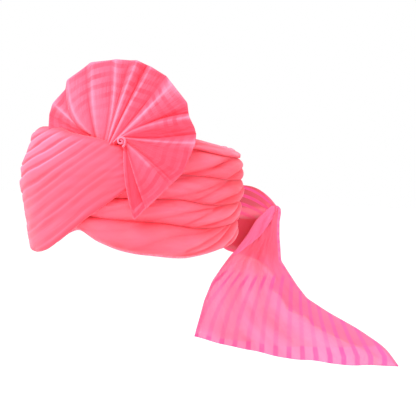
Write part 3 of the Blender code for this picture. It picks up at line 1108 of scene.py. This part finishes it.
    def _roll(self, u: Array, v: Array) -> Places:
        """Rolls a narrow strip into the knot at the hub.

        Args:
            u: shares of the way across the grid.
            v: shares of the way along it.

        Returns:
            The points and their attributes.
        """
        turn = 2 * math.pi * self.knot_turns * (1 - u) - 1.25
        size = (0.14 + 0.86 * u**0.9) * (1 - 0.20 * (2 * v - 1) ** 2)
        x = self.knot_half[0] * size * np.cos(turn)
        z = self.knot_half[2] * size * np.sin(turn) - 0.0012 * smooth_step(0.85, 1.0, u)
        depth = self.knot_half[1] * ((2 * v - 1) * 0.9 - 0.30 * (1 - u))
        out, deep, high = self.knot_at
        # painted shade: darker towards the back of the roll and on its inner turns
        painted_shading_and_tone = 0.12 + 0.50 * smooth_step(0.2, 0.8, v) + 0.20 * (1 - u) ** 2
        plain = {"stripe": 8 * v, "shown": 0.0 * v, "run": u * 0.06, "cross": v * 0.012}
        return self.spread.points(out + x, deep + depth, high + z), {"painted_shading_and_tone": unit(painted_shading_and_tone), **plain}


@dataclass
class SheerTail:
    """The striped free end: back layer, fold, front layer and the strip turned over."""

    spread: Spread
    form: WrapForm
    finish: bpy.types.Material
    drop: float = 0.141
    reach: float = 0.287
    cloth: float = 0.0009
    layer_gap: float = 0.0075
    turnover: float = 0.0016
    turnover_width: float = 0.015
    depths: tuple[float, float] = (0.092, 0.104)
    bend_radius: float = 0.0030
    front_sag: float = 0.0085
    curl_share: float = 0.3
    root_phi: float = 176.0
    arch: float = 0.0150
    stripe: float = 0.0150
    stripe_middle: float = 0.172
    hem: float = 0.060
    columns: int = 250
    rows: int = 180
    parts: Table = (
        # begins, width: of the back layer, the bend, the front layer and the turned-over strip
        (0.00, 0.27),
        (0.27, 0.04),
        (0.31, 0.61),
        (0.92, 0.08),
    )
    edges: Table = (
        # along, back_out, back_up, fold_out, fold_up, front_out, front_up, turnover
        (0.00, 0.250, 0.400, 0.526, 0.272, 0.510, 0.277, 0.60),
        (0.03, 0.250, 0.370, 0.537, 0.252, 0.503, 0.265, 0.64),
        (0.08, 0.250, 0.320, 0.538, 0.213, 0.488, 0.239, 0.72),
        (0.16, 0.250, 0.245, 0.533, 0.149, 0.449, 0.163, 0.85),
        (0.26, 0.255, 0.150, 0.533, 0.035, 0.413, 0.041, 0.80),
        (0.34, 0.272, 0.025, 0.537, -0.057, 0.375, -0.060, 0.36),
        (0.42, 0.335, -0.082, 0.540, -0.156, 0.348, -0.121, 0.00),
        (0.50, 0.428, -0.118, 0.571, -0.255, 0.314, -0.213, 0.00),
        (0.58, 0.498, -0.206, 0.603, -0.355, 0.282, -0.312, 0.00),
        (0.68, 0.523, -0.390, 0.641, -0.454, 0.251, -0.468, 0.00),
        (0.78, 0.557, -0.497, 0.725, -0.567, 0.233, -0.603, 0.00),
        (0.88, 0.662, -0.652, 0.836, -0.695, 0.220, -0.695, 0.00),
        (0.94, 0.788, -0.787, 0.922, -0.815, 0.217, -0.724, 0.00),
        (0.97, 0.850, -0.850, 0.953, -0.870, 0.215, -0.738, 0.00),
        (1.00, 0.912, -0.930, 1.000, -1.006, 0.213, -0.752, 0.00),
    )

    def build(self) -> None:
        """Makes the folded tail, walled with its cloth's thickness."""
        piece = ClothGrid("striped_tail", self.columns, self.rows).bend(self._place)
        give_wall(piece, self.cloth, 0.0)
        dress(piece, self.finish, Slot.TAIL, "tail")

    def _place(self, u: Array, v: Array) -> Places:
        """Bends the grid to the folded tail.

        Args:
            u: shares of the way across the grid.
            v: shares of the way along it.

        Returns:
            The points and their attributes.
        """
        along = 1 - v
        values = [eased(self.edges, column, along, 0.02) for column in range(1, 8)]
        size = np.array((self.reach, self.drop))
        back, fold, front = (np.stack(values[i : i + 2], axis=-1) * size for i in (0, 2, 4))
        turned = values[6]
        back[:, 0] += self._wander(along)
        near = self.depths[0] + (self.depths[1] - self.depths[0]) * along
        across = front - fold
        span = np.linalg.norm(across, axis=1)
        across = across / span[:, None]
        inner = fold + across * self.bend_radius
        shares = [unit((u - begins) / wide) for begins, wide in self.parts]
        back_share, bend_share, front_share, turn_share = shares
        t = back_share[:, None]
        bow = self.arch * unit(1 - along / 0.3) * np.abs(np.sin(math.pi * back_share**1.6)) ** 0.8
        spot = back + (inner - back) * t + np.stack([0 * along, bow], axis=-1)
        layer = self.layer_gap * (1.1 + 0.5 * (1 - back_share))
        half_turn = math.pi * bend_share
        depth = near + layer * 0.5 * (1 + np.cos(half_turn))
        spot = spot - across * (self.bend_radius * np.sin(half_turn))[:, None]
        t = front_share[:, None]
        drop = -self.front_sag * along**1.5 + 0.0006 * along * np.sin(21 * front_share)
        sag = np.stack([0 * along, drop], axis=-1)
        face = inner + (front - inner) * t + sag * np.sin(math.pi * t)
        spot = np.where(t > 0, face, spot)
        strip = np.minimum(self.turnover + self.turnover_width * turned, 0.62 * span)
        curl = math.pi * unit(turn_share / self.curl_share)
        rounding = 0.0004 + 0.0007 * turned
        spot = spot + across * (rounding * np.sin(curl))[:, None]
        inward = unit((turn_share - self.curl_share) / (1 - self.curl_share)) * strip
        spot = spot - across * inward[:, None]
        depth = depth - rounding * (1 - np.cos(curl))
        crosswise = np.where(front_share > 0, front_share - inward / span, 0.6 * back_share)
        held = np.where(front_share > 0, np.minimum(1.0, 4 * front_share), 0.4 * back_share)
        held = np.where((bend_share > 0) & (front_share <= 0), 0.0, held)
        held = held * (1 - 0.75 * smooth_step(0.60, 0.90, crosswise) * smooth_step(0.48, 0.36, along))
        depth = depth + held * self._waves(crosswise, along)
        points = self.spread.points(spot[:, 0], depth, spot[:, 1])
        stuck = (1 - smooth_step(0.24, 0.34, along)) * (1 - smooth_step(0.0, 0.25, back_share))
        phi = np.full_like(u, self.root_phi)
        lift = self.cloth / 2 + 0.0002 - self.form.inset(phi, back[:, 1])
        seat = self.form.at(self.form.half, phi, back[:, 1], lift)
        points = points * (1 - stuck)[:, None] + seat * stuck[:, None]
        strip_shown = (turn_share > 0.1) * (turned > 0.1)
        return points, self._looks(spot, along, crosswise, back_share, front_share, strip_shown)

    def _looks(
        self,
        spot: Array,
        along: Array,
        crosswise: Array,
        back_share: Array,
        front_share: Array,
        strip_shown: Array,
    ) -> dict[str, Array]:
        """Works out the tail's painted highlights and painted shade, its stripes, and the opaque painted
        shade inside its fold.

        Args:
            spot: places across and up.
            along: how far down the tail each lies.
            crosswise: how far across its layer each lies.
            back_share: how far across the back layer each lies.
            front_share: how far across the front layer each lies.
            strip_shown: 1 on the strip that is turned over.

        Returns:
            The attributes of the tail's points.
        """
        front, high = front_share > 0, spot[:, 1]
        behind, doubled = self._behind(spot)
        count, shown = self._stripes(spot, front_share, back_share, along)
        marked = np.maximum(0.95 * behind, 0.70 * doubled) * smooth_step(0.50, 0.56, along)
        # darker towards the front layer's top, lighter on the turned-over strip
        tint = 0.04 + 0.36 * (1 - smooth_step(0.28, 0.58, along)) * front
        tint = tint - 0.30 * strip_shown
        # painted shade on the back layer inside the fold under the arch, less of it low down where the
        # opaque patch lies
        arch = 0.20 + 0.80 * smooth_step(0.52, 0.36, along) * smooth_step(1.0, 0.80, back_share)
        arch = arch * (1 - 0.75 * smooth_step(0.039, 0.033, high) * smooth_step(0.48, 0.40, along))
        tint = np.where(front, tint, arch)
        # painted light and shade across the flutes
        tint = tint + 0.06 * np.sin(2 * math.pi * 3 * crosswise) * smooth_step(0.3, 0.6, along)
        beside = smooth_step(0.34, 0.10, front_share) * smooth_step(0.45, 0.60, along)
        tint = tint + 0.12 * front * beside
        tint = tint - 0.14 * smooth_step(1 - self.hem, 1.01 - self.hem, along) * front
        tint = tint + 0.12 * behind * front * smooth_step(0.38, 0.48, along)
        # painted shade: an opaque dark patch low on the back layer, inside the fold under the arch
        shaded = ~front * smooth_step(0.031, 0.022, high) * smooth_step(0.44, 0.36, along)
        return {
            "painted_shading_and_tone": unit(tint),
            "stripe": count,
            "shown": np.where(front, np.maximum(shown, marked), shown),
            "run": along * 0.2,
            "cross": crosswise * 0.15,
            "opaque_painted_shade": 0.92 * shaded * smooth_step(0.97, 0.85, back_share),
        }

    def _behind(self, spot: Array) -> tuple[Array, Array]:
        """Compares places with the edge of the layer behind.

        Args:
            spot: places across and up.

        Returns:
            How near each lies to that edge, and how far it covers that layer, from 0 to 1.
        """
        down = np.linspace(0.38, 1.0, 200)
        edge_x = self.reach * eased(self.edges, 1, down, 0.03) + self._wander(down)
        edge_z = self.drop * eased(self.edges, 2, down, 0.03)
        away = (spot[:, 0] - np.interp(-spot[:, 1], -edge_z, edge_x)) * 0.75
        return bump(away, np.where(away < 0, 0.0012, 0.0034)), smooth_step(0.0, 0.0020, away)

    def _wander(self, along: Array) -> Array:
        """How the edge of the layer behind strays from side to side."""
        stray = np.sin(2 * math.pi * 8.5 * along) + 0.6 * np.sin(2 * math.pi * 14.3 * along + 1.0)
        return 0.0026 * stray * smooth_step(0.42, 0.60, along)

    def _waves(self, crosswise: Array, along: Array) -> Array:
        """Works out the flutes that open towards the hem and the slanting folds above them.

        Args:
            crosswise: how far across its layer each place lies.
            along: how far down the tail it lies.

        Returns:
            Depths in metres.
        """
        wave = 0.0032 * np.sin(2 * math.pi * 3 * crosswise) * along
        wave = wave + 0.0011 * np.sin(2 * math.pi * 7.3 * crosswise + 2 * along) * along
        wave = wave + 0.0012 * np.sin(2 * math.pi * (2.2 * crosswise + 3.1 * along))
        gathered = smooth_step(0.12, 0.30, along) * (1 - smooth_step(0.5, 0.75, along))
        wave = wave + 0.0008 * gathered * np.sin(2 * math.pi * (3.3 * crosswise + 4.6 * along))
        return wave + 0.0003 * gathered * np.sin(2 * math.pi * (9.1 * crosswise - 4.7 * along))

    def _stripes(
        self, spot: Array, front_share: Array, back_share: Array, along: Array
    ) -> tuple[Array, Array]:
        """Counts the woven stripes, which fan out towards the hem.

        Args:
            spot: places across and up.
            front_share: how far across the front layer each lies.
            back_share: how far across the back layer each lies.
            along: how far down the tail each lies.

        Returns:
            The count across the cloth and how strongly the stripes show.
        """
        rise = np.clip(spot[:, 1] + 0.128, 0.0, None)
        from_middle = spot[:, 0] - self.stripe_middle
        pull = np.clip(np.where(from_middle < 0, 44.0 * rise**2, 6.4 * rise), 0.0, 0.8)
        at_hem = from_middle / (1 - pull)
        at_hem = at_hem / self.stripe + 20.0
        shown = smooth_step(0.485, 0.53, along)
        tick = smooth_step(0.995 - self.hem, 1.005 - self.hem, along)
        tick = tick + 0.8 * (1 - smooth_step(0.56, 0.62, along))
        shown = shown * (0.42 + 0.58 * unit(tick))
        arching = smooth_step(0.62, 0.54, along)
        curving = 18.0 * along - 2.2 * back_share + 0.40
        count = np.where(front_share > 0, at_hem, at_hem * (1 - arching) + arching * curving)
        lit = np.maximum(smooth_step(0.029, 0.036, spot[:, 1]), smooth_step(0.40, 0.50, along))
        return count, np.where(front_share > 0, shown, 0.70 + 0.15 * lit)


@dataclass
class Studio:
    """The plain pale floor, the soft light and the camera at the picture's angle."""

    floor_z: float = -0.42
    floor_half: float = 6.0
    distance: float = 1.50
    azimuth: float = 35.0
    elevation: float = 4.0
    aim: tuple[float, float] = (0.0755, 0.0428)
    width_at_aim: float = 416 * 0.00102
    sensor: float = 36.0
    lit_point: tuple[float, float, float] = (0.0, 0.0, 0.05)
    lamps: tuple = (
        # name, place, size, power
        ("key_light", (0.20, -1.15, 1.30), 0.8, 34.0),
        ("side_light", (-1.30, -0.80, 0.70), 0.9, 9.0),
    )

    def build(self) -> None:
        """Sets up the floor, the light and the camera."""
        bm = bmesh.new()
        bmesh.ops.create_grid(bm, x_segments=1, y_segments=1, size=self.floor_half)
        bmesh.ops.translate(bm, verts=bm.verts, vec=(0.0, 0.0, self.floor_z))
        mesh = bpy.data.meshes.new("studio_floor")
        bm.to_mesh(mesh)
        bm.free()
        mesh.materials.append(self._paper())
        floor = add_object("studio_floor", mesh)
        world = bpy.data.worlds.new("studio_air")
        world.use_nodes = True
        air = world.node_tree.nodes["Background"]
        NodeKit(world.node_tree).feed(air, {"Color": (1.0, 1.0, 1.0), "Strength": 1.0})
        scene = bpy.context.scene
        scene.world = world
        for lamp in self.lamps:
            self._lamp(*lamp)
        scene.view_settings.view_transform = "Standard"
        scene.view_settings.look = "None"
        self._camera()

    def _paper(self) -> bpy.types.Material:
        """Makes the floor's plain pale paper.

        Returns:
            The material.
        """
        paint = bpy.data.materials.new("studio_paper")
        paint.use_nodes = True
        surface = {
            "Base Color": (0.97, 0.97, 0.97),
            "Roughness": 1.0,
            "Emission Color": (1.0, 1.0, 1.0),
            "Emission Strength": 0.10,
        }
        NodeKit(paint.node_tree).feed(paint.node_tree.nodes["Principled BSDF"], surface)
        return paint

    def _lamp(self, name: str, place: tuple[float, float, float], size: float, power: float) -> None:
        """Hangs a soft square lamp that looks at the turban.

        Args:
            name: the lamp's name.
            place: where it hangs.
            size: its side in metres.
            power: its power in watts.
        """
        data = bpy.data.lights.new(name, "AREA")
        data.size = size
        data.energy = power
        lamp = add_object(name, data)
        lamp.location = place
        toward = Vector(self.lit_point) - Vector(place)
        lamp.rotation_euler = toward.to_track_quat("-Z", "Y").to_euler()

    def _camera(self) -> None:
        """Places the camera at the front left quarter, a little above the rim."""
        data = bpy.data.cameras.new("camera")
        data.sensor_width = self.sensor
        data.lens = self.sensor * self.distance / self.width_at_aim
        camera = add_object("camera", data)
        turn, rise = math.radians(self.azimuth), math.radians(self.elevation)
        back = Vector((math.sin(turn) * math.cos(rise), -math.cos(turn) * math.cos(rise), math.sin(rise)))
        target = Vector((math.cos(turn) * self.aim[0], math.sin(turn) * self.aim[0], self.aim[1]))
        camera.location = target + back * self.distance
        camera.rotation_euler = (-back).to_track_quat("-Z", "Y").to_euler()
        bpy.context.scene.camera = camera


def main() -> None:
    """Builds the pieces in order."""
    logging.basicConfig(level=logging.INFO, format="%(name)s %(message)s")
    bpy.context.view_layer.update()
    Studio().build()
    # each finish's colours: crest, a painted highlight; body; valley, a painted shade; stripe
    coral = (0.97, 0.170, 0.258), (0.97, 0.122, 0.180), (0.98, 0.054, 0.080), (0.98, 0.13, 0.24)
    wrap = ClothFinish("coral_wrap", *coral, crinkle=0.7, glow=0.85).build()
    pink = (0.98, 0.185, 0.315), (0.97, 0.066, 0.107), (0.95, 0.038, 0.080), (0.98, 0.08, 0.17)
    band = ClothFinish("pink_band", *pink, crinkle_scale=(18.0, 300.0, 1.0), along_cloth=True).build()
    rose = (0.98, 0.230, 0.350), (0.97, 0.092, 0.160), (0.93, 0.024, 0.050), (0.95, 0.045, 0.088)
    fan = ClothFinish(
        "striped_fan",
        *rose,
        stripe_share=0.80,
        stripe_width=0.42,
        crinkle=0.8,
        crinkle_scale=(90.0, 420.0, 1.0),
        along_cloth=True,
    ).build()
    sheer = (0.98, 0.205, 0.410), (0.97, 0.132, 0.215), (0.62, 0.036, 0.078), (0.93, 0.085, 0.310)
    tail = ClothFinish(
        "sheer_stripes",
        *sheer,
        stripe_share=0.95,
        stripe_width=0.34,
        stripe_fade=0.75,
        sheer=0.24,
        crinkle_scale=(30.0, 160.0, 1.0),
        along_cloth=True,
    ).build()
    form = WrapForm()
    spread = Spread()
    WrapCoils(form, wrap).build()
    CrownCloth(wrap).build()
    FrontBand(form, band).build()
    Fan(spread, fan).build()
    SheerTail(spread, form, tail).build()


if __name__ == "__main__":
    main()
